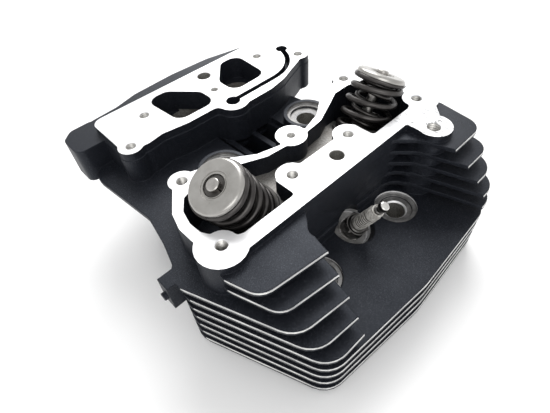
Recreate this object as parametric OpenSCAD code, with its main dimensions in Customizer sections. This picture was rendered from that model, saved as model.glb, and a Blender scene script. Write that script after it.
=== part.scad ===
// Cylinder head of an air-cooled two-valve engine, complete with valves, springs and spark plug.
// Millimetres. The origin is the bore axis on the gasket face. +Z points up to the rocker faces,
// +X is the exhaust side, -X the intake side, +Y the pushrod side and -Y the spark plug side.

/* [Casting] */
// Height of the machined rocker faces above the gasket face
deck_h = 94; // [90:0.5:100]
// Head bolt spacing along X
bolt_x = 82; // [80:0.5:86]
// Head bolt spacing along Y
bolt_y = 89; // [86:0.5:91]
// Head bolt hole diameter
bolt_d = 15; // [12:0.5:16]
// Cylinder bore diameter
bore_d = 95; // [92:0.5:96]

/* [Fins] */
// Distance from one fin to the next
fin_pitch = 10; // [9:0.5:10.5]
// Fin thickness
fin_t = 3; // [2:0.25:4]
// Number of fins
fin_count = 9; // [8:1:9]

/* [Valves] */
// Tilt of each valve from the bore axis, in degrees
valve_tilt = 28; // [26:0.5:29]
// Intake valve head diameter
intake_d = 46; // [43:0.5:46.5]
// Exhaust valve head diameter
exhaust_d = 39.5; // [36:0.5:40]
// Valve stem diameter
stem_d = 7.92; // [7:0.01:8]
// Outer spring diameter
spring_d = 36.6; // [34:0.1:37]
// Outer spring wire diameter
wire_d = 4.3; // [3.8:0.1:4.6]

/* [Spark plug] */
// Tilt of the spark plug from the bore axis, in degrees
plug_tilt = 28.5; // [26:0.5:30]
// Thread diameter
plug_d = 12; // [10:0.5:14]
// Hexagon size across its flats
plug_hex = 16; // [14:0.5:16]

/* [Hidden] */
$fn = 48;
eps = 0.01;

black = [0.07, 0.07, 0.075];
steel = [0.72, 0.71, 0.68];
dark_steel = [0.3, 0.29, 0.29];
bronze = [0.6, 0.47, 0.25];
rubber = [0.1, 0.1, 0.1];
ceramic = [0.9, 0.88, 0.82];

// Head bolts: the plug side row, and the row beside the pushrods
front_bolt_y = -48;
back_bolt_y = front_bolt_y + bolt_y;
post_top = deck_h - 16;

// Heights, from the gasket face up
fin_top = deck_h - 5;
plug_deck_z = fin_top - 5 * fin_pitch;
block_top = deck_h - 6;
block_bottom = deck_h - 28;
valley_z = fin_top - 2 * fin_pitch;
rib_top = deck_h - 28;
pocket_z = deck_h - 14;
pocket_low_z = deck_h - 31;
rail_bottom = deck_h - 38;
core_top = deck_h - 30;
gap_z = 30;
rib_bottom = 24;
pillar_z = 48;

// Valve frame: its origin is the middle of the valve seat and +Z runs up the stem
valve_x = 25.9;
valve_z = 22.5;
spring_seat_l = 55.6;
spring_base_t = 2.2;
retainer_l = 102;
retainer_t = 3.2;
tip_l = 104;
spot_r = 20.2;
guide_r = 7;
guide_from = 24;
guide_to = 65;
seat_wall = 2.6;
seat_t = 7.5;
fit = 0.03;

// Chamber: a dome whose middle is where the two valve axes cross
dome_z = valve_z - valve_x / tan(valve_tilt);
dome_r = valve_x / sin(valve_tilt) - 1.2;

// Ports: inner radius, the bend that leads from the valve, and the centre of the flange face
intake_port_r = 18.5;
exhaust_port_r = 16;
port_wall = 5.5;
intake_bend = [[-valve_x - 8, 0, 34], [-77, 30, 36.5]];
exhaust_bend = [[valve_x + 6.5, 0, 32.5], [82, 14, 36.5]];
intake_mouth = [-94.5, 30, 36.5];
exhaust_mouth = [112, 14, 36.5];
port_out = 20;
flange_r = 25;
flange_t = 5.5;
flange_bolt_z = 23;
flange_lug_r = 7.6;
flange_lug_t = 12;
flange_screw_depth = 14;

// Spark plug frame: its origin is the middle of the seat and +Z runs up to the terminal
plug_x = 5;
plug_y = -35.5;
plug_z = 34;
plug_reach = 18.5;
plug_l = 49.4;
plug_spot_r = 13.5;

face_inset = 0.4;

// Screws of the rocker faces, on the +X side or the middle
screw_d = 6.6;
small_screw_d = 5.2;
mount_screw_d = 8.5;
corner_in = [75.5, 34.5];
corner_out = [89, -21];
tab = [26, -11];
rail_mid = [0, 16];
deck_front = [80, 87.5];
deck_back = [55, 111];
deck_mid = [0, 98.5];
mount_lug = [69, -47.5];
oil_hole = [5.5, -19];
dowel_hole = [6.5, 120.5];
slot_start = [0, 76];
slot_end = [77, 104];
screw_depth = 20;
boss_screw_depth = 22;
tab_screw_depth = 18;
small_screw_depth = 16;
plain_hole_depth = 14;
oil_hole_d = 9.5;
dowel_hole_d = 10.5;

// Turned faces under the head bolts: the wide spot, then the narrower one inside it
front_spot_d = 30;
back_spot_d = 29;
inner_spot_d = 24;

// Ways for the pushrods, below their D-shaped openings
pushrod_at = [25.5, 105];
pushrod_r = 11.5;
pushrod_wall_r = 17;
opening_depth = 18;

// ---- Helpers ----

// Draws its children on both sides of the YZ plane
module both() {
    children();
    mirror([1, 0, 0]) children();
}

// Rounds outer corners by r_out and inner corners by r_in
module rounded(r_out, r_in) {
    offset(r = -r_in, $fn = 24)
        offset(r = r_in + r_out, $fn = 24)
            offset(delta = -r_out) children();
}

module slab(from, to) {
    translate([0, 0, from]) linear_extrude(to - from) children();
}

module hole(at, d, from, to) {
    translate([at[0], at[1], from]) cylinder(d = d, h = to - from);
}

// A blind hole down from the rocker faces
module deck_hole(at, d, depth) {
    hole(at, d, deck_h - depth, deck_h + 1);
}

// side is 1 for the exhaust valve and -1 for the intake valve
module on_valve(side) {
    translate([side * valve_x, 0, valve_z]) rotate([0, side * valve_tilt, 0]) children();
}

module on_plug() {
    translate([plug_x, plug_y, plug_z]) rotate([plug_tilt, 0, 0]) children();
}

// A round duct through a list of points: each run carries on a little past the bends, and the
// first run is a little narrower than the next
bend_overlap = 0.3;
bend_step = 0.5;
module duct(points, r) {
    last = len(points) - 1;
    for (i = [1 : last]) {
        run = points[i] - points[i - 1];
        length = norm(run);
        extra = r * bend_overlap;
        translate(points[i - 1])
            rotate([0, acos(run[2] / length), atan2(run[1], run[0])])
                translate([0, 0, -extra])
                    cylinder(r = i < last ? r - bend_step : r, h = length + (i < last ? 2 : 1) * extra);
    }
}

function arc(middle, r, from, to, steps) = [
    for (i = [0 : steps]) let (a = from + (to - from) * i / steps)
        middle + r * [cos(a), sin(a)]
];

// ---- Outlines of the casting, seen from above ----

// Outer edge of the rocker rail around the valve pocket
module rail_outline() {
    rounded(3, 1.5) {
        both() polygon([
            [0, -33], [86, -33], [98.5, -8], [98.5, 4], [95, 16], [84, 32],
            [68, 37], [42, 28.5], [28, 18.5], [12, 14], [0, 14],
        ]);
        both() translate(corner_in) circle(r = 8.6);
        both() translate(corner_out) circle(r = 15.2);
        translate(rail_mid) circle(r = 10.6);
        mount_lug_outline();
    }
}

module mount_lug_outline() {
    translate(mount_lug + [1.5, 0.5]) circle(r = 12);
    polygon([[59.5, -30], [59.5, -50], [83, -43], [96, -30]]);
}

// The open pocket inside the rail
module pocket_outline() {
    rounded(2.5, 2) difference() {
        both() polygon([
            [-1, -7.7], [36.5, -7.7], [36.5, -23.5], [75, -23.5], [84, -20], [91.5, -6],
            [92, 3], [89.5, 13], [83, 21.5], [70, 26], [56, 26], [42, 19.5], [25, 12],
            [10, 10.5], [-1, 10.5],
        ]);
        both() translate(corner_out) circle(r = 10);
        both() translate(tab) circle(r = 10.4);
        translate(rail_mid) circle(r = 11);
    }
}

// The machined face around the pushrod openings
module pushrod_face_outline() {
    rounded(8, 4) {
        polygon([
            [-87, 86], [-87, 132.5], [87, 132.5], [87, 86], [71, 78], [60, 74], [46, 68.5],
            [30, 65.5], [-8, 65.5], [-14, 78], [-38, 78.5], [-58, 82], [-71, 80],
        ]);
        both() translate(deck_front) circle(r = 9.2);
        translate(slot_start) circle(r = 12.5);
    }
}

// The body of the pushrod block, with its ledge behind the face
module pushrod_block_outline() {
    rounded(6, 4) {
        polygon([
            [-87, 86], [-87, 143], [-61, 145], [-42, 150], [-5, 152], [30, 150], [60, 143],
            [78, 137], [87, 128], [87, 86], [71, 78], [60, 74], [46, 68.5], [30, 65.5],
            [-8, 65.5], [-14, 78], [-38, 78.5], [-58, 82], [-71, 80],
        ]);
        both() translate(deck_front) circle(r = 9.2);
        translate(slot_start) circle(r = 12.5);
    }
}

module end_block_outline() {
    rounded(6, 1) polygon([[-80, 115], [-108, 115], [-108, 136], [-100, 143.5], [-80, 144]]);
}

// One D-shaped pushrod opening, on the +X side
module pushrod_opening_outline() {
    rounded(8.5, 1) polygon([
        [9, 85], [41.5, 86], [44.5, 125], [27, 125], [9, 104],
    ]);
}

// The oil groove: a straight run, then a bend round to its far end
module oil_groove_outline() {
    translate(slot_start) circle(r = 5.3);
    translate(slot_end) circle(r = 4.8);
    polygon(concat(
        [[0, 73.8]], arc([42, 111], 37.2, -90, -11, 12), arc([42, 111], 32.8, -11, -90, 12),
        [[0, 78.2]]
    ));
}

// How far fin i reaches on the plug side, for the intake (-1) and exhaust (1) corners
fin_limit = 95;
function fin_reach(i, side) = side < 0
    ? min(56.5 + 10 * i, fin_limit)
    : min(68 + 11 * i - 0.9 * i * i, fin_limit);

// Half width of the fins beside the valves, and how fast they narrow towards the plug side
fin_side = 118;
fin_taper = 0.385;
function fin_widening(i, side) = side < 0 ? (i < 2 ? -4 : 0) : (i < 5 ? 4 : 0);
function fin_corner_x(i, side) =
    fin_side + fin_widening(i, side) - fin_taper * (fin_reach(i, side) - 4);

// Outline of fin i, counted from the top
module fin_outline(i) {
    left = fin_reach(i, -1);
    right = fin_reach(i, 1);
    belly = i < 5 ? max(left, right) : 100 + 0.3 * (i - 5);
    front = [
        [-fin_corner_x(i, -1), -left], [0, -belly], [fin_corner_x(i, 1), -right],
    ];
    rounded(i < 2 ? 12 : 17, 3) polygon(i < 2
        ? concat(front, [[104, -24], [60, -20], [-60, -20], [-104, -24]])
        : concat(front, [
            [107, -34], [98, -14], [96, 34], [76, 44], [59.5, 56], [58, 96],
            [i == 2 ? -107 : -86, i == 2 ? 122 : 100], [i == 2 ? -99.5 : -86, 47],
            [i == 2 ? -104 : -86, 24], [i == 2 ? -109 : -90, 7],
            [-fin_side, i == 2 ? 3.5 : 4], [-fin_side, -4],
        ])
    );
}

// The recess in the upper fins in front of the spark plug
module recess_outline() {
    rounded(6, 6) polygon([
        [-38, -33], [-47, -44], [-50, -57], [-59, -112], [77, -112], [65, -70], [61, -58],
        [57, -45], [46, -33],
    ]);
}

module core_outline() {
    rounded(30, 1) square([134, 126], center = true);
}

module upper_core_outline() {
    translate([-66, -32]) square([132, 94]);
}

// ---- The casting ----

module fins() {
    for (i = [0 : fin_count - 1]) {
        z = fin_top - i * fin_pitch;
        difference() {
            slab(z - fin_t, z) fin_outline(i);
            if (i < 5) slab(plug_deck_z, deck_h) recess_outline();
            if (i == 2) translate([-18, 26, z - fin_t - 1]) cube([150, 90, fin_t + 2]);
        }
    }
}

// The gap between the two ports that air blows through
module valley_gap() {
    translate([-18, 20, gap_z]) cube([45, 48, deck_h]);
}

module valley_ribs() {
    for (x = [-14, 5, 23])
        translate([x, 12, rib_bottom]) cube([4.5, 72, rib_top - rib_bottom]);
}

// The wall beside the exhaust bolt post, from the post to the pushrod block
module post_wall() {
    slab(rib_bottom, rib_top + 4) polygon([[26, 40], [60, 40], [60, 58], [57, 84], [26, 84]]);
}

// Posts that the head bolts pass through
module bolt_posts() {
    for (x = [-1, 1]) {
        translate([x * bolt_x / 2, back_bolt_y, 0]) cylinder(r = 17.5, h = post_top);
        translate([x * bolt_x / 2, front_bolt_y, 0]) cylinder(r = 18.5, h = plug_deck_z);
    }
}

// The wall that the fin ends meet beside the intake flange, with its small cast stop
module intake_pillar() {
    translate([-121, -6, pillar_z]) cube([17, 10, valley_z - pillar_z]);
    translate([-120, -1, pillar_z + 10]) rotate([0, -90, 0]) cylinder(r = 2.6, h = 3.5);
}

// A round flange with a screw lug above and below, facing +X from the middle of its face
module flange() {
    translate([-flange_t, 0, 0]) rotate([0, 90, 0]) cylinder(r = flange_r, h = flange_t);
    for (z = [-flange_bolt_z, flange_bolt_z])
        translate([-flange_lug_t, 0, z]) rotate([0, 90, 0])
            cylinder(r = flange_lug_r, h = flange_lug_t);
}

module flanges() {
    translate(intake_mouth) mirror([1, 0, 0]) flange();
    translate(exhaust_mouth) flange();
}

module rocker_rail() {
    slab(rail_bottom, deck_h) rail_outline();
    slab(plug_deck_z, deck_h - 20) translate([72, -44]) circle(r = 14);
}

module pushrod_block() {
    slab(block_bottom, block_top) pushrod_block_outline();
    slab(block_top - 1, deck_h) offset(delta = -face_inset) pushrod_face_outline();
    slab(block_bottom - 5, block_top) end_block_outline();
    both() hole(pushrod_at, 2 * pushrod_wall_r, 34, block_bottom + eps);
}

module casting_solid() {
    difference() {
        union() {
            slab(0, plug_deck_z) core_outline();
            slab(plug_deck_z - 1, core_top) upper_core_outline();
            fins();
        }
        valley_gap();
    }
    valley_ribs();
    post_wall();
    bolt_posts();
    intake_pillar();
    duct(concat(intake_bend, [intake_mouth + [2, 0, 0]]), intake_port_r + port_wall);
    duct(concat(exhaust_bend, [exhaust_mouth - [2, 0, 0]]), exhaust_port_r + port_wall);
    flanges();
    rocker_rail();
    pushrod_block();
}

module chamber() {
    intersection() {
        translate([0, 0, dome_z]) sphere(r = dome_r, $fn = 96);
        translate([0, 0, -1]) cylinder(d = bore_d, h = 60, $fn = 96);
    }
}

// Seat pocket, port throat and guide bore, in one valve's frame
module valve_bores(side, valve_d, port_r) {
    on_valve(side) {
        translate([0, 0, -20]) cylinder(d = valve_d + 2 * seat_wall, h = 20 + seat_t);
        translate([0, 0, seat_t - eps]) cylinder(r = port_r - 0.8, h = 16 - seat_t);
        cylinder(r = guide_r, h = spring_seat_l + 1);
        translate([0, 0, spring_seat_l]) cylinder(r = spot_r, h = 70);
    }
}

module valve_pocket() {
    slab(pocket_z, deck_h + 1) pocket_outline();
    for (side = [-1, 1])
        intersection() {
            slab(pocket_low_z, deck_h) pocket_outline();
            on_valve(side) translate([-60, -60, spring_seat_l]) cube([120, 120, 80]);
        }
}

module pushrod_bores() {
    both() {
        slab(deck_h - opening_depth, deck_h + 1) pushrod_opening_outline();
        translate([pushrod_at[0], pushrod_at[1], block_bottom])
            cylinder(r1 = pushrod_r, r2 = 15, h = deck_h - opening_depth - block_bottom + eps);
        hole(pushrod_at, 2 * pushrod_r, 30, 70);
        hole(pushrod_at, 2 * pushrod_r + 4, 33, 41);
    }
    slab(deck_h - 10, deck_h + 1) oil_groove_outline();
}

module bolt_bores() {
    for (x = [-1, 1]) {
        for (y = [front_bolt_y, back_bolt_y])
            hole([x * bolt_x / 2, y], bolt_d, -1, deck_h);
        hole([x * bolt_x / 2, front_bolt_y], front_spot_d, plug_deck_z - 1.5, plug_deck_z + 20);
        hole([x * bolt_x / 2, front_bolt_y], inner_spot_d, plug_deck_z - 3, plug_deck_z + 2);
        hole([x * bolt_x / 2, back_bolt_y], back_spot_d, post_top - 2, block_top);
        hole([x * bolt_x / 2, back_bolt_y], inner_spot_d, post_top - 4, post_top);
    }
}

module screw_holes() {
    both() {
        deck_hole(corner_in, screw_d, screw_depth);
        deck_hole(corner_out, screw_d, boss_screw_depth);
        deck_hole(tab, screw_d, tab_screw_depth);
        deck_hole(deck_front, screw_d, screw_depth);
        deck_hole(deck_back, screw_d, screw_depth);
    }
    deck_hole(rail_mid, small_screw_d, small_screw_depth);
    deck_hole(deck_mid, small_screw_d, small_screw_depth);
    deck_hole(mount_lug, mount_screw_d, boss_screw_depth);
    deck_hole(oil_hole, oil_hole_d, plain_hole_depth);
    deck_hole(dowel_hole, dowel_hole_d, plain_hole_depth);
}

module plug_bore() {
    on_plug() {
        translate([0, 0, -40]) cylinder(d = plug_d, h = 41);
        cylinder(r = plug_spot_r, h = 60);
    }
}

module flange_holes() {
    for (z = [-flange_bolt_z, flange_bolt_z]) {
        translate(intake_mouth + [-1, 0, z]) rotate([0, 90, 0])
            cylinder(d = screw_d, h = flange_screw_depth + 1);
        translate(exhaust_mouth + [1, 0, z]) rotate([0, -90, 0])
            cylinder(d = screw_d, h = flange_screw_depth + 1);
    }
}

module head_casting() {
    color(black) difference() {
        casting_solid();
        chamber();
        valve_bores(-1, intake_d, intake_port_r);
        valve_bores(1, exhaust_d, exhaust_port_r);
        duct(concat(intake_bend, [intake_mouth - [port_out, 0, 0]]), intake_port_r);
        duct(concat(exhaust_bend, [exhaust_mouth + [port_out, 0, 0]]), exhaust_port_r);
        valve_pocket();
        pushrod_bores();
        bolt_bores();
        screw_holes();
        plug_bore();
        flange_holes();
    }
}

// ---- Valve gear, drawn in the valve frame ----

module seat(side, valve_d) {
    r = valve_d / 2;
    color(dark_steel) on_valve(side) rotate_extrude() polygon([
        [r + fit, -0.4], [r + seat_wall, -0.4], [r + seat_wall, seat_t], [r - 4, seat_t],
        [r - 3 + fit, 3], [r + fit, 0],
    ]);
}

module guide(side) {
    color(bronze) on_valve(side) rotate_extrude() polygon([
        [stem_d / 2 + fit, guide_from], [guide_r - 1.5, guide_from], [guide_r, guide_from + 4],
        [guide_r, guide_to - 8], [guide_r - 1.5, guide_to - 7], [guide_r - 1.5, guide_to],
        [stem_d / 2 + fit, guide_to],
    ]);
}

// Head with a 45 degree face, a tulip neck and a stem with its keeper groove
module valve(side, valve_d) {
    r = valve_d / 2;
    s = stem_d / 2;
    neck_r = r - 3 - s;
    neck = [for (i = [0 : 8]) [s + neck_r * (1 - sin(i * 11.25)), 3 + 13 * (1 - cos(i * 11.25))]];
    color(steel) on_valve(side) rotate_extrude() polygon(concat(
        [[0, -1.8], [r - 0.4, -1.8], [r, -1.4], [r, 0]], neck,
        [[s, tip_l - 7], [s - 0.6, tip_l - 6.4], [s - 0.6, tip_l - 5], [s, tip_l - 4.4],
         [s, tip_l - 0.5], [s - 0.5, tip_l], [0, tip_l]]
    ));
}

module retainer(side) {
    color(steel) on_valve(side) rotate_extrude() polygon([
        [5.1, retainer_l - 9], [8.2, retainer_l - 9], [8.2, retainer_l - 5.4],
        [13.4, retainer_l - 5.4], [13.4, retainer_l - retainer_t],
        [17.2, retainer_l - retainer_t], [17.2, retainer_l - 1.2], [16, retainer_l],
        [6.9, retainer_l], [6.5, retainer_l - 0.8],
    ]);
}

// Two split keepers, half a ring each
module keepers(side) {
    s = stem_d / 2 + fit;
    gap = 5;
    color(steel) on_valve(side) for (turn = [90, 270])
        rotate([0, 0, turn + gap]) rotate_extrude(angle = 180 - 2 * gap) polygon([
            [s, retainer_l - 8.8], [5.1, retainer_l - 8.8], [6.4, retainer_l - 1], [s, retainer_l - 1],
        ]);
}

module spring_base(side) {
    color(steel) on_valve(side) translate([0, 0, spring_seat_l]) rotate_extrude() polygon([
        [guide_r + 0.2, 0], [19.6, 0], [19.6, spring_base_t], [13, spring_base_t],
        [12.6, spring_base_t + 1], [guide_r + 0.2, spring_base_t + 1],
    ]);
}

module stem_seal(side) {
    color(rubber) on_valve(side) rotate_extrude() polygon([
        [guide_r - 1.5, guide_to - 5], [guide_r + 0.6, guide_to - 5], [guide_r + 0.6, guide_to + 1],
        [guide_r - 1.4, guide_to + 4.5], [stem_d / 2 + fit, guide_to + 4.5],
        [stem_d / 2 + fit, guide_to], [guide_r - 1.5, guide_to],
    ]);
}

// A round wire swept along a helix, with its end turns closed and flat on their seats
coil_sides = 8;
coil_steps = 18;
module coil(mean_r, wire_r, from, to, turns) {
    n = round(turns * coil_steps);
    function lift(t) = t < 1 ? wire_r * 2 * t * t / 2
        : t > turns - 1 ? (to - from - 2 * wire_r) - wire_r * pow(turns - t, 2)
        : wire_r + (to - from - 4 * wire_r) * (t - 1) / (turns - 2);
    points = [for (i = [0 : n]) for (j = [0 : coil_sides - 1])
        let (t = i / coil_steps, a = 360 * t, b = 360 * j / coil_sides,
            r = mean_r + wire_r * cos(b))
        [r * cos(a), r * sin(a), from + wire_r + lift(t) + wire_r * sin(b)]];
    sides = [for (i = [0 : n - 1]) for (j = [0 : coil_sides - 1])
        let (a = i * coil_sides + j, b = i * coil_sides + (j + 1) % coil_sides)
        [a, b, b + coil_sides, a + coil_sides]];
    first = [for (j = [coil_sides - 1 : -1 : 0]) j];
    last = [for (j = [0 : coil_sides - 1]) n * coil_sides + j];
    polyhedron(points, concat([first, last], sides), convexity = 6);
}

module spring_outer(side) {
    color(dark_steel) on_valve(side)
        coil((spring_d - wire_d) / 2, wire_d / 2, spring_seat_l + spring_base_t + 0.05,
            retainer_l - retainer_t - 0.05, 5.5);
}

module spring_inner(side) {
    color(dark_steel) on_valve(side)
        coil(11.2, 1.6, spring_seat_l + spring_base_t + 1.05, retainer_l - 5.45, 6.5);
}

// ---- Spark plug, drawn in the plug frame ----

washer_t = 1.6;
module plug_washer() {
    color(steel) on_plug() difference() {
        cylinder(r = 8.6, h = washer_t);
        translate([0, 0, -1]) cylinder(d = plug_d + 0.1, h = 4);
    }
}

module plug_shell() {
    color(steel) on_plug() difference() {
        union() {
            translate([0, 0, -plug_reach]) cylinder(d = plug_d, h = plug_reach + washer_t + eps);
            translate([0, 0, washer_t]) cylinder(r = 8.4, h = 3.6);
            translate([0, 0, 5]) cylinder(d = plug_hex / cos(30), h = 7.4, $fn = 6);
            translate([0, 0, 12.4]) cylinder(r1 = 7.2, r2 = 6.4, h = 2);
        }
        translate([0, 0, -plug_reach - 1]) cylinder(r = 4, h = 14);
        translate([0, 0, -6]) cylinder(r = 5, h = 24);
    }
}

rib_count = 7;
module plug_insulator() {
    rib_h = 2.15;
    ribs = [for (i = [0 : rib_count - 1]) for (p = [[5, 0], [5, 0.9], [4.2, 1.2], [4.2, 1.8]])
        [p[0], 17 + i * rib_h + p[1]]];
    color(ceramic) on_plug() rotate_extrude() polygon(concat(
        [[1.32, -plug_reach + 1.5], [2.2, -plug_reach + 1.5], [3.2, -10], [3.9, -6], [5, -5.5],
         [5, 17]],
        ribs,
        [[4.7, 17 + rib_count * rib_h], [4.2, plug_l - 9.02], [1.32, plug_l - 9.02]]
    ));
}

module plug_terminal() {
    color(steel) on_plug() rotate_extrude() polygon([
        [0, plug_l - 9], [1.3, plug_l - 9], [3.2, plug_l - 9], [3.2, plug_l - 7.2],
        [2.5, plug_l - 6.6], [2.5, plug_l - 4.6], [3.2, plug_l - 3.8], [3.2, plug_l - 0.8],
        [2.5, plug_l], [0, plug_l],
    ]);
}

module plug_electrode() {
    color(dark_steel) on_plug() translate([0, 0, -plug_reach - 0.6])
        cylinder(r = 1.3, h = plug_reach + plug_l - 8.4 - eps);
}

module plug_ground_strap() {
    color(steel) on_plug() {
        translate([4.1, -1.3, -plug_reach - 2.9]) cube([1.4, 2.6, 2.9]);
        translate([-1.2, -1.3, -plug_reach - 2.9]) cube([5.4, 2.6, 1.3]);
    }
}

head_casting();
seat(-1, intake_d);  // intake_seat
seat(1, exhaust_d);  // exhaust_seat
guide(-1);  // intake_guide
guide(1);  // exhaust_guide
valve(-1, intake_d);  // intake_valve
valve(1, exhaust_d);  // exhaust_valve
retainer(-1);  // intake_retainer
retainer(1);  // exhaust_retainer
keepers(-1);  // intake_keepers
keepers(1);  // exhaust_keepers
spring_outer(-1);  // intake_spring_outer
spring_inner(-1);  // intake_spring_inner
spring_outer(1);  // exhaust_spring_outer
spring_inner(1);  // exhaust_spring_inner
spring_base(-1);  // intake_spring_base
spring_base(1);  // exhaust_spring_base
stem_seal(-1);  // intake_stem_seal
stem_seal(1);  // exhaust_stem_seal
plug_shell();
plug_insulator();
plug_terminal();
plug_electrode();
plug_ground_strap();
plug_washer();
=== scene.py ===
import math

import bmesh
import bpy
import numpy as np
from mathutils import Matrix, Vector


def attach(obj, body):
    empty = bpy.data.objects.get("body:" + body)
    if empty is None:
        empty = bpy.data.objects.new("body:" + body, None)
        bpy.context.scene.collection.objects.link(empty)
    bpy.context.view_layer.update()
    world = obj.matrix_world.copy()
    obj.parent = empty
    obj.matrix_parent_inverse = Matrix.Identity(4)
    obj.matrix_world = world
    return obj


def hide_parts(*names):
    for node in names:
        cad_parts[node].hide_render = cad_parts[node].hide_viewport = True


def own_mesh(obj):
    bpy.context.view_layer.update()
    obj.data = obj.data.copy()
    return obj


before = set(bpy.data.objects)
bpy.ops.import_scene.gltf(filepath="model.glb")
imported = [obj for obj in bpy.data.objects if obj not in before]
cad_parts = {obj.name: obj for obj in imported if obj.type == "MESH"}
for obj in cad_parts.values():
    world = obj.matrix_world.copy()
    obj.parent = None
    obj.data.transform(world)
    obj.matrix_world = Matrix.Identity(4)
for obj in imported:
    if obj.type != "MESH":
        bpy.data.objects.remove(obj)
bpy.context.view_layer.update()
MM = 0.001
DECK = 94.0
FIN_TOP, FIN_PITCH, FIN_COUNT = DECK - 5, 10, 9
VALVE_X, VALVE_Z, VALVE_TILT = 25.9, 22.5, 28
SPRING_SEAT, RETAINER_TOP, LIFT = 55.5, 102.0, 11
PLUG_SEAT, PLUG_TILT = (5, -35.5, 34), 28.5
HEAD_BOLT_X, FRONT_BOLT_Y, BACK_BOLT_Y = 41, -48, 41
FRONT_BOLT_FACE, BACK_BOLT_FACE = 39, 78
PUSHROD_X, PUSHROD_Y = 25.5, 105
INTAKE_FLANGE, EXHAUST_FLANGE, FLANGE_SCREW = (-94.5, 30, 36.5), (112, 14, 36.5), 23


# ---- Camera, stage and light ----

def make_camera():
    az, el, roll = (math.radians(a) for a in (-39.98, 48.28, -5.03))
    back = Vector((math.sin(az) * math.cos(el), -math.cos(az) * math.cos(el), math.sin(el)))
    right = Vector((math.cos(az), math.sin(az), 0))
    up = back.cross(right)
    r2 = math.cos(roll) * right + math.sin(roll) * up
    u2 = -math.sin(roll) * right + math.cos(roll) * up
    data = bpy.data.cameras.new("camera")
    data.lens = 26.9
    data.sensor_width = 36
    data.clip_start = 0.01
    data.clip_end = 20
    cam = bpy.data.objects.new("camera", data)
    bpy.context.scene.collection.objects.link(cam)
    m = Matrix((r2, u2, back)).transposed().to_4x4()
    m.translation = Vector((-0.1498, -0.1398, 0.2664))
    cam.matrix_world = m
    bpy.context.scene.camera = cam


def light(name, loc, target, size, power, color=(1, 1, 1)):
    data = bpy.data.lights.new(name, "AREA")
    data.shape = "RECTANGLE"
    data.size, data.size_y = size
    data.energy = power
    data.color = color
    ob = bpy.data.objects.new(name, data)
    bpy.context.scene.collection.objects.link(ob)
    ob.location = loc
    ob.rotation_mode = "QUATERNION"
    ob.rotation_quaternion = (Vector(target) - Vector(loc)).to_track_quat("-Z", "Y")


# ---- Small node helpers ----

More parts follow.
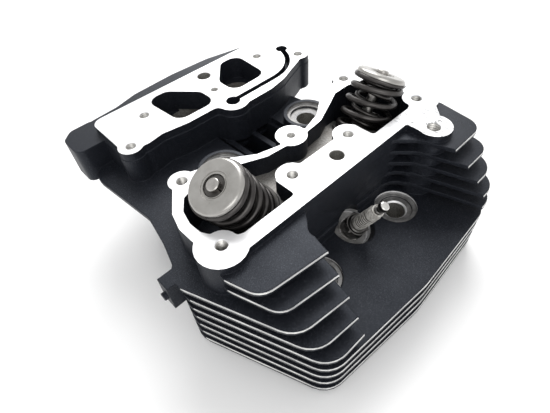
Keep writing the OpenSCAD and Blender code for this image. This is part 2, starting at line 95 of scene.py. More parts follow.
class Mat:
    """A material with a Principled shader, and short calls to add nodes to it."""

    def __init__(self, name, **values):
        self.m = bpy.data.materials.new(name)
        self.m.use_nodes = True
        self.nt = self.m.node_tree
        self.bsdf = self.nt.nodes["Principled BSDF"]
        for k, v in values.items():
            self.bsdf.inputs[k.replace("_", " ").title().replace("Ior", "IOR")].default_value = v

    def node(self, kind, **props):
        n = self.nt.nodes.new(kind)
        for k, v in props.items():
            setattr(n, k, v)
        return n

    def link(self, a, b):
        self.nt.links.new(a, b)
        return b

    def coords(self, scale=(1, 1, 1)):
        tc = self.node("ShaderNodeTexCoord")
        mp = self.node("ShaderNodeMapping")
        mp.inputs["Scale"].default_value = scale
        self.link(tc.outputs["Object"], mp.inputs["Vector"])
        return mp.outputs["Vector"]

    def noise(self, scale, detail=3, rough=0.5, vec=None, distortion=0.0):
        n = self.node("ShaderNodeTexNoise")
        n.inputs["Scale"].default_value = scale
        n.inputs["Detail"].default_value = detail
        n.inputs["Roughness"].default_value = rough
        n.inputs["Distortion"].default_value = distortion
        self.link(vec if vec is not None else self.coords(), n.inputs["Vector"])
        return n.outputs["Fac"]

    def voronoi(self, scale, vec=None, feature="F1"):
        n = self.node("ShaderNodeTexVoronoi", feature=feature)
        n.inputs["Scale"].default_value = scale
        self.link(vec if vec is not None else self.coords(), n.inputs["Vector"])
        return n.outputs

    def ramp(self, fac, *stops):
        n = self.node("ShaderNodeValToRGB")
        e = n.color_ramp.elements
        while len(e) < len(stops):
            e.new(0.5)
        for i, (p, c) in enumerate(stops):
            e[i].position = p
            e[i].color = (*c, 1) if isinstance(c, tuple) else (c, c, c, 1)
        self.link(fac, n.inputs["Fac"])
        return n.outputs["Color"]

    def span(self, fac, a, b, c, d):
        n = self.node("ShaderNodeMapRange")
        for i, v in enumerate((a, b, c, d)):
            n.inputs[i + 1].default_value = v
        self.link(fac, n.inputs["Value"])
        return n.outputs["Result"]

    def math(self, op, a, b=None):
        n = self.node("ShaderNodeMath", operation=op)
        for i, v in enumerate((a, b)):
            if v is None:
                continue
            if isinstance(v, (int, float)):
                n.inputs[i].default_value = v
            else:
                self.link(v, n.inputs[i])
        return n.outputs["Value"]

    def mix(self, fac, a, b):
        n = self.node("ShaderNodeMix", data_type="RGBA")
        if isinstance(fac, (int, float)):
            n.inputs[0].default_value = fac
        else:
            self.link(fac, n.inputs[0])
        for i, v in ((6, a), (7, b)):
            if isinstance(v, tuple):
                n.inputs[i].default_value = (*v, 1)
            else:
                self.link(v, n.inputs[i])
        return n.outputs[2]

    def bump(self, *layers, edge=0.0):
        """Each layer is (height, strength, distance in metres). edge softens corners by a radius."""
        last = None
        if edge:
            bevel = self.node("ShaderNodeBevel", samples=6)
            bevel.inputs["Radius"].default_value = edge
            last = bevel.outputs["Normal"]
        for height, strength, distance in layers:
            b = self.node("ShaderNodeBump")
            b.inputs["Strength"].default_value = strength
            b.inputs["Distance"].default_value = distance
            self.link(height, b.inputs["Height"])
            if last is not None:
                self.link(last, b.inputs["Normal"])
            last = b.outputs["Normal"]
        self.link(last, self.bsdf.inputs["Normal"])

    def color(self, c):
        self.link(c, self.bsdf.inputs["Base Color"])

    def rough(self, r):
        self.link(r, self.bsdf.inputs["Roughness"])

    def local(self, place):
        """Object coordinates carried into the frame of a placed piece, in metres."""
        inverse = place.inverted()
        tc = self.node("ShaderNodeTexCoord")
        mp = self.node("ShaderNodeMapping")
        mp.inputs["Location"].default_value = inverse.translation * MM
        mp.inputs["Rotation"].default_value = inverse.to_euler()
        self.link(tc.outputs["Object"], mp.inputs["Vector"])
        return mp.outputs["Vector"]

    def rings(self, vec, pitch, wobble=0.0):
        """A wave that repeats every pitch metres away from the local Z axis."""
        sep = self.node("ShaderNodeSeparateXYZ")
        self.link(vec, sep.inputs["Vector"])
        x, y = sep.outputs["X"], sep.outputs["Y"]
        r = self.math("SQRT", self.math("ADD", self.math("MULTIPLY", x, x), self.math("MULTIPLY", y, y)))
        if wobble:
            r = self.math("ADD", r, self.math("MULTIPLY", self.noise(180, 2, vec=vec), wobble))
        return self.math("SINE", self.math("MULTIPLY", r, 2 * math.pi / pitch))

    def near(self, centre, radius, soft):
        """1 close to a point in metres, falling to 0 past the radius."""
        tc = self.node("ShaderNodeTexCoord")
        d = self.node("ShaderNodeVectorMath", operation="DISTANCE")
        self.link(tc.outputs["Object"], d.inputs[0])
        d.inputs[1].default_value = centre
        return self.span(d.outputs["Value"], radius - soft, radius + soft, 1, 0)


# ---- Materials ----

def make_coat():
    """Black powder coat: semi matte, fine orange peel, a faint sparkle painted into the colour as bright
    flecks.
    """
    m = Mat("black_coat", roughness=0.45, specular_ior_level=0.28, specular_tint=(0.82, 0.88, 1, 1))
    fleck_and_glint = m.noise(2600, 2, 0.7)
    cloud = m.noise(45, 3)
    # The dark stops are random tone in the coat; the brightest stop paints light flecks, a painted glint
    # standing for sparkle.
    base = m.ramp(fleck_and_glint, (0.35, (0.003, 0.0035, 0.005)), (0.58, (0.010, 0.0115, 0.016)),
                  (0.76, (0.09, 0.095, 0.11)))
    m.color(base)
    m.rough(m.span(cloud, 0.3, 0.7, 0.40, 0.52))
    m.bump((m.noise(1500, 2, 0.6), 0.35, 0.00012), (m.noise(230, 3), 0.14, 0.0004), edge=0.0011)
    return m.m


def make_face():
    """Milled aluminium: nearly white, faint cutter arcs, dark specks beside the mounting hole."""
    m = Mat("milled_aluminium", metallic=0.3, roughness=0.32)
    place = Matrix.Translation((-160, -260, 0))
    arcs = m.rings(m.local(place), 0.0011, 0.0006)
    cloud = m.noise(60, 4)
    specks = m.math("GREATER_THAN", m.noise(700, 3, 0.6, vec=m.coords((1, 0.35, 1)), distortion=0.6), 0.56)
    zone = m.near((0.069, -0.043, 0.094), 0.019, 0.009)
    dirt = m.math("MULTIPLY", specks, m.math("MULTIPLY", zone, 0.8))
    # Painted sheen: near the exhaust corner the face is mixed toward grey, standing for how the light falls
    # there.
    painted_sheen = m.near((0.088, -0.02, 0.094), 0.022, 0.02)
    base = m.ramp(cloud, (0.3, (0.74, 0.74, 0.75)), (0.6, (0.90, 0.90, 0.905)))
    base = m.mix(m.math("MULTIPLY", painted_sheen, 0.7), base, (0.42, 0.43, 0.45))
    m.color(m.mix(dirt, base, (0.10, 0.10, 0.10)))
    m.rough(m.span(cloud, 0.3, 0.7, 0.30, 0.42))
    m.bump((arcs, 0.12, 0.00002), (m.noise(900, 2), 0.05, 0.00005))
    return m.m


def make_edge():
    """The bright cut edges of the fins, with small nicks and streaks along the cut."""
    m = Mat("cut_fin_edge", metallic=1.0, roughness=0.4)
    streak = m.noise(500, 3, 0.6, vec=m.coords((0.15, 0.15, 3)))
    m.color(m.ramp(streak, (0.3, (0.62, 0.62, 0.62)), (0.6, (0.90, 0.90, 0.89))))
    m.rough(m.span(streak, 0.2, 0.8, 0.34, 0.5))
    m.bump((streak, 0.2, 0.0001))
    return m.m


def make_raw():
    """Bare cast aluminium: grey, grainy, a little stained."""
    m = Mat("bare_casting", metallic=0.75, roughness=0.55)
    grain = m.noise(700, 3, 0.65)
    stain = m.noise(38, 4, 0.6)
    base = m.ramp(grain, (0.3, (0.20, 0.195, 0.185)), (0.7, (0.46, 0.45, 0.43)))
    m.color(m.mix(m.span(stain, 0.42, 0.62, 0, 0.55), base, (0.17, 0.15, 0.13)))
    m.rough(m.span(grain, 0.2, 0.8, 0.45, 0.68))
    m.bump((grain, 0.45, 0.0003))
    return m.m


def make_bore():
    """Cut threads and drilled walls: darker than the faces, a painted shade for the inside of the holes."""
    m = Mat("cut_thread", metallic=0.85, roughness=0.3)
    wear = m.noise(900, 3)
    m.color(m.ramp(wear, (0.3, (0.36, 0.35, 0.33)), (0.7, (0.70, 0.69, 0.66))))
    m.rough(m.span(wear, 0.2, 0.8, 0.25, 0.45))
    m.bump((wear, 0.15, 0.0001))
    return m.m


def make_spot():
    """Turned spot faces: grey with cloud and dirt."""
    m = Mat("spot_face", metallic=0.7, roughness=0.5)
    cloud = m.noise(160, 4, 0.6)
    m.color(m.ramp(cloud, (0.3, (0.15, 0.147, 0.145)), (0.65, (0.36, 0.355, 0.35))))
    m.rough(m.span(cloud, 0.2, 0.8, 0.42, 0.6))
    m.bump((m.noise(1400, 2), 0.12, 0.0001))
    return m.m


def make_turned(name, place, dark, bright, rough, pitch=0.0007, depth=0.00003):
    """A turned part: rings round its axis, stains, and brighter worn spots."""
    m = Mat(name, metallic=1.0, roughness=rough)
    vec = m.local(place)
    cloud = m.noise(110, 4, 0.6, vec=vec)
    m.color(m.ramp(cloud, (0.3, dark), (0.68, bright)))
    m.rough(m.span(cloud, 0.25, 0.75, rough - 0.06, rough + 0.1))
    m.bump((m.rings(vec, pitch, 0.0002), 0.25, depth), (m.noise(1100, 2, vec=vec), 0.15, 0.00008))
    return m.m


def make_spring():
    """Shot peened spring wire with a thin film of oil."""
    m = Mat("spring_wire", metallic=0.85, roughness=0.38, coat_weight=0.12, coat_roughness=0.2)
    peen = m.voronoi(1900)["Distance"]
    film = m.noise(120, 3)
    m.color(m.ramp(film, (0.3, (0.038, 0.035, 0.034)), (0.7, (0.085, 0.08, 0.077))))
    m.rough(m.span(film, 0.2, 0.8, 0.26, 0.42))
    m.bump((peen, 0.22, 0.0001))
    return m.m


def make_ceramic():
    """Glazed ceramic, slightly dusty. The groove floors between its ribs are painted dark as shade, in a
    material of their own.
    """
    m = Mat("plug_glaze", roughness=0.22, coat_weight=0.5, coat_roughness=0.1)
    dust = m.noise(420, 4, 0.65)
    m.color(m.ramp(dust, (0.32, (0.30, 0.285, 0.26)), (0.6, (0.62, 0.605, 0.57))))
    m.rough(m.span(dust, 0.3, 0.7, 0.18, 0.4))
    m.bump((dust, 0.1, 0.0001))
    return m.m


def make_groove_shade():
    """Painted shade for the floors of the grooves between the plug's ribs: nearly black, with a little random
    tone.
    """
    m = Mat("plug_groove_shade", roughness=0.7)
    groove_tone = m.noise(900, 4, 0.65)
    m.color(m.ramp(groove_tone, (0.3, (0.020, 0.018, 0.016)), (0.7, (0.07, 0.064, 0.056))))
    m.rough(m.span(groove_tone, 0.2, 0.8, 0.6, 0.85))
    m.bump((groove_tone, 0.3, 0.0001))
    return m.m


def make_rubber():
    m = Mat("seal_rubber", roughness=0.6)
    grain = m.noise(1200, 3)
    m.color(m.ramp(grain, (0.3, (0.012, 0.010, 0.010)), (0.7, (0.035, 0.028, 0.026))))
    m.rough(m.span(grain, 0.2, 0.8, 0.5, 0.7))
    m.bump((grain, 0.2, 0.0001))
    return m.m


# ---- Building meshes, in mm ----

def valve_place(side):
    turn = Matrix.Rotation(math.radians(side * VALVE_TILT), 4, "Y")
    return Matrix.Translation((side * VALVE_X, 0, VALVE_Z)) @ turn


def plug_place():
    return Matrix.Translation(PLUG_SEAT) @ Matrix.Rotation(math.radians(PLUG_TILT), 4, "X")


class Shape:
    """Vertices in mm, and faces that carry a material number."""

    def __init__(self):
        self.v, self.f, self.m = [], [], []

    def add(self, points, faces, mats, place=None):
        start = len(self.v)
        self.v += [tuple(place @ Vector(p)) if place else tuple(p) for p in points]
        self.f += [tuple(start + k for k in f) for f in faces]
        self.m += mats if isinstance(mats, list) else [mats] * len(faces)

    def revolve(self, profile, mats=0, segs=64, place=None, closed=False, radius=None):
        """Turns (r, z) points round Z. radius(r, z, angle) may bend the section."""
        pts, rings = [], []
        for r, z in profile:
            if r == 0:
                rings.append([len(pts)])
                pts.append((0, 0, z))
                continue
            rings.append(list(range(len(pts), len(pts) + segs)))
            for j in range(segs):
                a = 2 * math.pi * j / segs
                q = radius(r, z, a) if radius else r
                pts.append((q * math.cos(a), q * math.sin(a), z))
        faces, fm = [], []
        pairs = list(zip(rings, rings[1:])) + ([(rings[-1], rings[0])] if closed else [])
        for k, (a, b) in enumerate(pairs):
            mat = mats[k] if isinstance(mats, list) else mats
            for j in range(segs):
                n = (j + 1) % segs
                if len(a) == 1:
                    faces.append((a[0], b[n], b[j]))
                elif len(b) == 1:
                    faces.append((a[j], a[n], b[0]))
                else:
                    faces.append((a[j], a[n], b[n], b[j]))
                fm.append(mat)
        self.add(pts, faces, fm, place)

    def prism(self, outline, low, high, mat=0, place=None):
        n = len(outline)
        pts = [(x, y, low) for x, y in outline] + [(x, y, high) for x, y in outline]
        faces = [tuple(range(n - 1, -1, -1)), tuple(range(n, 2 * n))]
        faces += [(k, (k + 1) % n, n + (k + 1) % n, n + k) for k in range(n)]
        self.add(pts, faces, mat, place)

    def tube(self, path, r, sides=14, place=None, low=None, high=None):
        """A round wire along a path, ground flat at the low and high planes."""
        path = [Vector(p) for p in path]
        pts, n = [], len(path)
        for k, p in enumerate(path):
            t = (path[min(k + 1, n - 1)] - path[max(k - 1, 0)]).normalized()
            out = Vector((p.x, p.y, 0)).normalized()
            up = t.cross(out).normalized()
            out = up.cross(t)
            for j in range(sides):
                a = 2 * math.pi * j / sides
                q = p + (out * math.cos(a) + up * math.sin(a)) * r
                pts.append((q.x, q.y, min(max(q.z, low), high)))
        faces = [tuple(range(sides)), tuple((n - 1) * sides + j for j in reversed(range(sides)))]
        for k in range(n - 1):
            for j in range(sides):
                a, b = k * sides + j, k * sides + (j + 1) % sides
                faces.append((a, a + sides, b + sides, b))
        self.add(pts, faces, 0, place)

    def build(self, name, mats, angle=35):
        me = bpy.data.meshes.new(name)
        me.from_pydata([(x * MM, y * MM, z * MM) for x, y, z in self.v], [], self.f)
        me.polygons.foreach_set("material_index", np.array(self.m, np.int32))
        for m in mats:
            me.materials.append(m)
        bm = bmesh.new()
        bm.from_mesh(me)
        bmesh.ops.recalc_face_normals(bm, faces=bm.faces)
        bm.to_mesh(me)
        bm.free()
        smooth(me, angle)
        ob = bpy.data.objects.new(name, me)
        bpy.context.scene.collection.objects.link(ob)
        return ob


def smooth(me, angle):
    me.polygons.foreach_set("use_smooth", np.ones(len(me.polygons), bool))
    me.set_sharp_from_angle(angle=math.radians(angle))
    me.update()


def fillet(points, radii, steps=7):
    """Rounds the corners of an open path of (x, y) points: one radius a point."""
    out = [points[0]]
    for k in range(1, len(points) - 1):
        p, a, b = (Vector(points[i]) for i in (k, k - 1, k + 1))
        u, w = (a - p).normalized(), (b - p).normalized()
        half = u.angle(w) / 2
        cut = min(radii[k] / math.tan(half), (a - p).length * 0.49, (b - p).length * 0.49)
        r = cut * math.tan(half)
        middle = p + (u + w).normalized() * (r / math.sin(half))
        s, e = p + u * cut - middle, p + w * cut - middle
        turn = s.angle_signed(e)
        for i in range(steps + 1):
            c, q = math.cos(-turn * i / steps), math.sin(-turn * i / steps)
            out.append((middle.x + c * s.x - q * s.y, middle.y + q * s.x + c * s.y))
    return out + [points[-1]]


def offset_path(path, d):
    """Moves an open path sideways by d, to its left."""
    out = []
    for k, p in enumerate(path):
        a, b = Vector(path[max(k - 1, 0)]), Vector(path[min(k + 1, len(path) - 1)])
        t = (b - a).normalized()
        out.append((p[0] - t.y * d, p[1] + t.x * d))
    return out


def boolean(ob, cutter):
    mod = ob.modifiers.new("cut", "BOOLEAN")
    mod.object = cutter
    mod.operation = "DIFFERENCE"
    mod.solver = "MANIFOLD"
    me = bpy.data.meshes.new_from_object(ob.evaluated_get(bpy.context.evaluated_depsgraph_get()))
    ob.modifiers.clear()
    old, ob.data = ob.data, me
    bpy.data.meshes.remove(old)
    bpy.data.objects.remove(cutter)
    return ob


# ---- The casting: the coated solid, then machined ----

COAT, FACE, EDGE, RAW, BORE, SPOT = range(6)
SPOT_R = 20.9
casting_mats = [make_coat(), make_face(), make_edge(), make_raw(), make_bore(), make_spot()]


def fin_path(i):
    """The cut outer edge of fin i, counted from the top, from the intake side round the front."""
    left = min(56.5 + 10 * i, 95)
    right = min(68 + 11 * i - 0.9 * i * i, 95)
    belly = max(left, right) if i < 5 else 100 + 0.3 * (i - 5)
    x_left = (114 if i < 2 else 118) - 0.385 * (left - 4)
    x_right = (122 if i < 5 else 118) - 0.385 * (right - 4)
    start, end = (-116.4, -8), (107, -34)
    if i < 2:
        start = (-104 + (104 - x_left) * 7 / (left - 24), -31)
        end = (104 - (104 - x_right) * 7 / (right - 24), -31)
    r = 12 if i < 2 else 17
    path = [start, (-x_left, -left), (0, -belly), (x_right, -right), end]
    return fillet(path, [0, r, 90, r, 0])


def fin_cuts():
    """Takes a little off the upper edge of each fin, where it was cut after coating."""
    s = Shape()
    for i in range(FIN_COUNT):
        z = FIN_TOP - FIN_PITCH * i
        path = fin_path(i)
        strip = offset_path(path, 0.35) + offset_path(path, -5)[::-1]
        s.prism(strip, z - 1.25, z + 1, EDGE)
    return s


def thread(s, place, d, depth, pitch=1.5):
    """A tapped hole going down from z = 0: a chamfer, thread turns and a drill point."""
    r = d / 2
    profile, mats = [(0, 2), (r + 0.6, 2), (r + 0.6, 0.02), (r + 0.15, -0.5)], [COAT, FACE, FACE]
    z = -0.5
    while z > -depth:
        profile += [(r + 0.75, z - pitch / 2), (r + 0.06, z - pitch)]
        z -= pitch
    profile += [(0.01, z - 1.6), (0, z - 1.6)]
    mats += [BORE] * (len(profile) - len(mats) - 1)
    s.revolve(profile, mats, 32, place)


def at(x, y, z=DECK):
    return Matrix.Translation((x, y, z))


def hole_cuts():
    s = Shape()
    for x, y in ((75.5, 34.5), (89, -21), (26, -11), (80, 87.5), (55, 111)):
        for side in (-1, 1):
            thread(s, at(side * x, y), 6.6, 17)
    for x, y in ((0, 16), (0, 98.5)):
        thread(s, at(x, y), 5.2, 14, 1.2)
    thread(s, at(69, -47.5), 8.5, 20, 1.75)
    for x, y, r, depth in ((5.5, -19, 4.8, 13), (6.5, 120.5, 5.3, 14)):
        s.revolve([(0, 2), (r + 0.5, 2), (r + 0.5, 0.02), (r, -0.5), (r, -depth), (0, -depth - 2.4)],
                  [FACE, FACE, FACE, BORE, SPOT], 48, at(x, y))
    for side in (-1, 1):
        x = side * HEAD_BOLT_X
        s.revolve([(0, 21), (15.2, 21), (15.2, -0.02), (15.2, -1.3), (14.6, -1.7), (12.2, -1.7),
                   (11.7, -3.2), (8.6, -3.6), (7.55, -4.6), (7.55, -42), (0, -42)],
                  [COAT, COAT, FACE, SPOT, SPOT, SPOT, SPOT, FACE, BORE, BORE], 72,
                  at(x, FRONT_BOLT_Y, FRONT_BOLT_FACE))
        s.revolve([(0, 11), (14.7, 11), (14.7, -0.02), (14.7, -1.8), (14.2, -2.2), (12.2, -2.2),
                   (11.8, -4.1), (8.6, -4.5), (7.55, -5.5), (7.55, -80), (0, -80)],
                  [COAT, COAT, SPOT, SPOT, SPOT, SPOT, SPOT, FACE, BORE, BORE], 72,
                  at(x, BACK_BOLT_Y, BACK_BOLT_FACE))
        s.revolve([(0, 3), (15.3, 3), (15.3, 0), (11.8, -10), (11.8, -48), (0, -48)], RAW, 56,
                  at(side * PUSHROD_X, PUSHROD_Y, 75))
    for side in (-1, 1):
        s.revolve([(0, 95), (SPOT_R, 95), (SPOT_R, 70), (SPOT_R, SPRING_SEAT + 0.4),
                   (SPOT_R - 0.4, SPRING_SEAT), (0, SPRING_SEAT)],
                  [COAT, COAT, FACE, SPOT, SPOT], 96, valve_place(side))
    s.revolve([(0, 34), (13.7, 34), (13.7, 5), (13.7, 0.2), (13.2, -0.1), (6.9, -0.1), (6.1, -0.9),
               (6.1, -24), (0, -24)], [COAT, COAT, FACE, FACE, SPOT, SPOT, BORE, BORE], 72, plug_place())
    for flange, turn in ((INTAKE_FLANGE, -90), (EXHAUST_FLANGE, 90)):
        for z in (-FLANGE_SCREW, FLANGE_SCREW):
            place = Matrix.Translation(Vector(flange) + Vector((0, 0, z)))
            thread(s, place @ Matrix.Rotation(math.radians(turn), 4, "Y"), 6.6, 10)
    return s


def repaint(me):
    """Gives the bare surfaces their own material: pocket floor, ports, chamber and throats."""
    n = len(me.polygons)
    c, nor, mat = np.empty(n * 3), np.empty(n * 3), np.empty(n, np.int32)
    me.polygons.foreach_get("center", c)
    me.polygons.foreach_get("normal", nor)
    me.polygons.foreach_get("material_index", mat)
    c, nor = c.reshape(-1, 3) / MM, nor.reshape(-1, 3)
    x, y, z = c.T
    flat = ((z > DECK - 0.01) & (nor[:, 2] > 0.99)) | ((z < 0.01) & (nor[:, 2] < -0.99))
    for flange in (INTAKE_FLANGE, EXHAUST_FLANGE):
        flat |= (abs(nor[:, 0]) > 0.99) & (abs(x - flange[0]) < 0.01)
    mat[flat & (mat == COAT)] = FACE
    bare = (abs(x) < 58) & (y > -25) & (y < 27) & (z > 60) & (z < 82.5) & (nor[:, 2] > 0.35)
    bare |= (x * x + y * y + (z + 26.2) ** 2 < 54.7 ** 2) & (z < 29)
    intake_bend, intake_end = (-77, 30, 36.5), (-99, 30, 36.5)
    exhaust_bend, exhaust_end = (82, 14, 36.5), (117, 14, 36.5)
    runs = (((-33.9, 0, 34), intake_bend, 19.3), (intake_bend, intake_end, 19.3),
            ((32.4, 0, 32.5), exhaust_bend, 16.8), (exhaust_bend, exhaust_end, 16.8))
    for a, b, r in runs:
        a, b = np.array(a), np.array(b)
        k = np.clip(((c - a) @ (b - a)) / ((b - a) @ (b - a)), 0, 1)
        bare |= np.linalg.norm(c - a - k[:, None] * (b - a), axis=1) < r
    for side in (-1, 1):
        p = valve_place(side).inverted()
        wall = np.where((mat == FACE) & (z > 66) & (z < DECK - 0.1) & (x * side > 5))[0]
        q = np.array([list(p @ Vector(v)) for v in c[wall]])
        mat[wall[(abs(np.hypot(q[:, 0], q[:, 1]) - SPOT_R) < 0.3) & (q[:, 0] * side > -7)]] = COAT
    for side, r in ((-1, 26), (1, 23)):
        p = valve_place(side).inverted()
        q = np.array([list(p @ Vector(v)) for v in c[(z < 60)]])
        inside = (np.hypot(q[:, 0], q[:, 1]) < r) & (q[:, 2] < 17) & (q[:, 2] > -20)
        bare[np.where(z < 60)[0][inside]] = True
    mat[bare & (mat == COAT)] = RAW
    me.polygons.foreach_set("material_index", mat)


def make_casting():
    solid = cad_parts["head_casting"].data
    me = bpy.data.meshes.new("casting")
    me.from_pydata([tuple(v.co) for v in solid.vertices], [], [tuple(p.vertices) for p in solid.polygons])
    for m in casting_mats:
        me.materials.append(m)
    bm = bmesh.new()
    bm.from_mesh(me)
    bmesh.ops.remove_doubles(bm, verts=bm.verts, dist=1e-7)
    bmesh.ops.recalc_face_normals(bm, faces=bm.faces)
    bm.to_mesh(me)
    bm.free()
    ob = bpy.data.objects.new("casting", me)
    bpy.context.scene.collection.objects.link(ob)
    for cuts in (fin_cuts(), hole_cuts()):
        boolean(ob, cuts.build("cutter", casting_mats))
    repaint(ob.data)
    smooth(ob.data, 32)
    return ob


# ---- Valve gear ----

def coil(mean_r, wire_r, low, high, turns, phase, hand):
    """Centre line of a spring with one closed turn at each end."""
    path, steps = [], 44
    n = round(turns * steps)
    first, last = low - 0.35 * wire_r, high + 0.35 * wire_r
    a, b = low + 1.72 * wire_r, high - 1.72 * wire_r
    for k in range(n + 1):
        t = k / steps
        if t < 1:
            z = first + (a - first) * t
        elif t > turns - 1:
            z = last - (last - b) * (turns - t)
        else:
            z = a + (b - a) * (t - 1) / (turns - 2)
        q = phase + hand * 2 * math.pi * t
        path.append((mean_r * math.cos(q), mean_r * math.sin(q), z))
    zs = np.array([p[2] for p in path])
    for _ in range(3):
        zs[1:-1] = (zs[:-2] + zs[1:-1] * 2 + zs[2:]) / 4
    return [(x, y, z) for (x, y, _), z in zip(path, zs)]


def add_springs():
    wire = make_spring()
    for side, word, phase in ((-1, "intake", 0.4), (1, "exhaust", 2.6)):
        place = valve_place(side)
        for kind, mean_r, wire_r, low, high, turns, hand in (
                ("outer", 16.15, 2.15, 57.86, 98.74, 5.5, 1),
                ("inner", 11.2, 1.6, 58.86, 96.54, 6.5, -1)):
            s = Shape()
            s.tube(coil(mean_r, wire_r, low, high, turns, phase, hand), wire_r, 16, place, low, high)
            name = f"{word}_{kind}_coil"
            ob = s.build(name, [wire], 50)
            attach(ob, "head")
            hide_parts(f"{word}_spring_{kind}")
            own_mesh(ob)


def add_retainers():
    for side, word in ((-1, "intake"), (1, "exhaust")):
        place = valve_place(side)
        mat = make_turned(f"{word}_retainer_steel", place, (0.36, 0.35, 0.33), (0.46, 0.45, 0.43), 0.3)
        edge = 2.4
        s = Shape()
        top = RETAINER_TOP
        rim = [(17.2 - edge * (1 - math.cos(math.radians(a))), top - edge + edge * math.sin(math.radians(a)))
               for a in range(0, 91, 10)]
        s.revolve([(5.15, top - 9), (8.0, top - 9), (8.2, top - 8.8), (8.2, top - 5.4), (13.1, top - 5.4),
                   (13.4, top - 5.1), (13.4, top - 3.2), (16.9, top - 3.2), (17.2, top - 2.9)] + rim +
                  [(8.6, top), (8.3, top - 0.5), (7.5, top - 0.5), (7.3, top - 0.1), (6.9, top - 0.1),
                   (6.6, top - 1.2)],
                  0, 96, place, True)
        ob = s.build(f"{word}_retainer_ring", [mat], 28)
        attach(ob, f"{word}_valve")
        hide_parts(f"{word}_retainer")


# ---- Spark plug ----

def hex_radius(flats, corner):
    def radius(r, z, a):
        if r < corner:
            return r
        d = math.degrees(a) % 60 - 30
        return min(flats / 2 / math.cos(math.radians(d)), corner_limit(z, flats, corner))
    return radius


def corner_limit(z, flats, corner):
    """The chamfer turned on both ends of the hexagon."""
    full = flats / 2 / math.cos(math.radians(30))
    return min(full, corner + 2.2 * max(0, min(z - 5.1, 12.3 - z)))


def add_plug():
    place = plug_place()
    steel = make_turned("plug_plating", place, (0.05, 0.048, 0.046), (0.15, 0.145, 0.14), 0.3, 0.0009)
    bright = make_turned("plug_stud", place, (0.55, 0.54, 0.52), (0.82, 0.81, 0.79), 0.22, 0.0006)
    glaze = make_ceramic()
    s = Shape()
    s.revolve([(6.06, 0.25), (6.3, 0), (8.3, 0), (8.6, 0.3), (8.6, 1.3), (8.35, 1.6), (6.3, 1.6),
               (6.06, 1.35)], 0, 64, place, True)
    ring = s.build("plug_gasket", [bright], 30)
    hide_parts("plug_washer")
    profile = [(4, -18.5), (5.2, -18.5)]
    z = -18
    while z < -1.2:
        profile += [(5.95, z + 0.3), (5.4, z + 0.9)]
        z += 1.0
    profile += [(5.6, -0.6), (5.6, 1.61), (8.4, 1.61), (8.4, 4.4), (8.0, 4.9)]
    corner = 8.05
    body = profile + [(corner + 0.001, 5.1), (9.3, 6.0), (9.3, 11.4), (corner + 0.001, 12.3), (7.3, 12.4),
                      (7.2, 12.9), (6.9, 13.9), (6.3, 14.4), (5.02, 14.4), (5.02, -5.9), (4, -6.2)]
    s = Shape()
    s.revolve(body, 0, 72, place, True, hex_radius(16, corner))
    shell = s.build("plug_body", [steel], 28)
    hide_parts("plug_shell")
    s = Shape()
    ribs = []
    for i in range(7):
        z = 16.9 + i * 2.15
        ribs += [(4.9, z), (4.98, z + 0.2), (4.98, z + 0.75), (4.8, z + 0.95), (3.9, z + 1.15), (3.9, z + 1.8),
                 (4.3, z + 2.0)]
    outline = ([(1.33, -17), (2.2, -17), (3.2, -10), (3.9, -6), (4.95, -5.5)] + ribs +
               [(4.85, 32.1), (4.85, 36.6), (4.6, 37.4), (4.25, 38.6), (4.2, 40.3), (1.33, 40.3)])
    # The groove floors between the ribs take material 1, a painted shade.
    grooves = [int(a[1] > 16 and b[1] < 32.2 and a[0] + b[0] < 9.4) for a, b in zip(outline, outline[1:])]
    s.revolve(outline, grooves + [0], 64, place, True)
    body = s.build("plug_ceramic_body", [glaze, make_groove_shade()], 30)
    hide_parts("plug_insulator")
    s = Shape()
    # The cap's sides take the dark plating and its top the bright steel: a painted highlight on the lit top
    # and painted shade on the sides.
    s.revolve([(0, 40.4), (3.15, 40.4), (3.2, 40.6), (3.2, 42.0), (2.9, 42.3), (2.45, 42.5), (2.5, 44.6),
               (2.9, 44.9), (3.2, 45.4), (3.2, 48.4), (2.9, 48.95), (2.3, 49.3), (1.2, 49.4), (0, 49.4)],
              [1] * 10 + [0] * 3, 48, place)
    stud = s.build("plug_cap", [bright, steel], 35)
    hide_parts("plug_terminal")
    slots = ("plug_steel", "plug_steel", "plug_ceramic", "plug_terminal")
    for ob, slot in zip((ring, shell, body, stud), slots):
        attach(ob, "head")


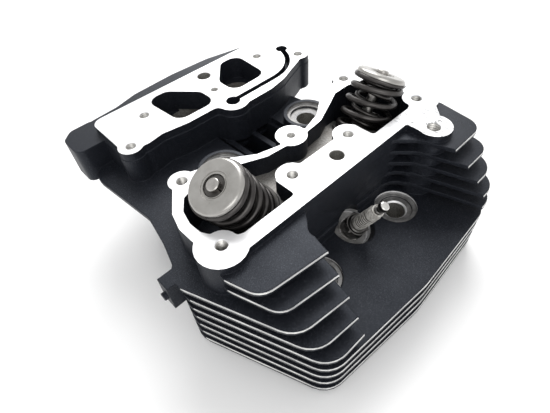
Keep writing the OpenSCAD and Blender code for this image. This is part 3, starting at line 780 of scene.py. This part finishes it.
def paint_nodes():
    """The CAD nodes that stay get a detailed material each."""
    jobs = []
    for side, word in ((-1, "intake"), (1, "exhaust")):
        place = valve_place(side)
        looks = (
            ("valve", "valve_steel", (0.30, 0.285, 0.27), (0.60, 0.585, 0.56), 0.3),
            ("keepers", "keeper_steel", (0.04, 0.037, 0.034), (0.13, 0.125, 0.12), 0.4),
            ("seat", "seat_steel", (0.3, 0.29, 0.28), (0.55, 0.54, 0.53), 0.3),
            ("guide", "guide_bronze", (0.32, 0.2, 0.09), (0.58, 0.41, 0.21), 0.35),
            ("spring_base", "base_steel", (0.12, 0.115, 0.11), (0.28, 0.27, 0.26), 0.38),
        )
        jobs += [(f"{word}_{piece}", make_turned(f"{word}_{name}", place, dark, bright, rough))
                 for piece, name, dark, bright, rough in looks]
        jobs.append((f"{word}_stem_seal", make_rubber()))
    nickel = make_turned("electrode_nickel", plug_place(), (0.4, 0.38, 0.35), (0.66, 0.64, 0.6), 0.35)
    jobs += [("plug_electrode", nickel), ("plug_ground_strap", nickel)]
    for name, mat in jobs:
        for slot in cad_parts[name].material_slots:
            slot.material = mat


def make_stage():
    me = bpy.data.meshes.new("floor")
    bm = bmesh.new()
    bmesh.ops.create_grid(bm, x_segments=8, y_segments=8, size=4)
    bm.to_mesh(me)
    bm.free()
    m = Mat("pale_floor", roughness=0.6)
    m.color(m.ramp(m.noise(3, 2), (0.3, (0.90, 0.90, 0.90)), (0.7, (0.93, 0.93, 0.93))))
    me.materials.append(m.m)
    floor = bpy.data.objects.new("floor", me)
    bpy.context.scene.collection.objects.link(floor)
    world = bpy.data.worlds.new("studio")
    world.use_nodes = True
    world.node_tree.nodes["Background"].inputs["Color"].default_value = (1, 1, 1, 1)
    world.node_tree.nodes["Background"].inputs["Strength"].default_value = 0.85
    bpy.context.scene.world = world
    bpy.context.scene.view_settings.view_transform = "Standard"
    light("key", (0.9, 0.9, 1.3), (0, 0, 0.05), (1.2, 1.2), 26)
    light("fill", (-0.9, -1.2, 1.1), (0, 0, 0.05), (1.4, 1.0), 9)


make_camera()
make_stage()
casting = make_casting()
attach(casting, "head")
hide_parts("head_casting")
add_springs()
add_retainers()
add_plug()
paint_nodes()
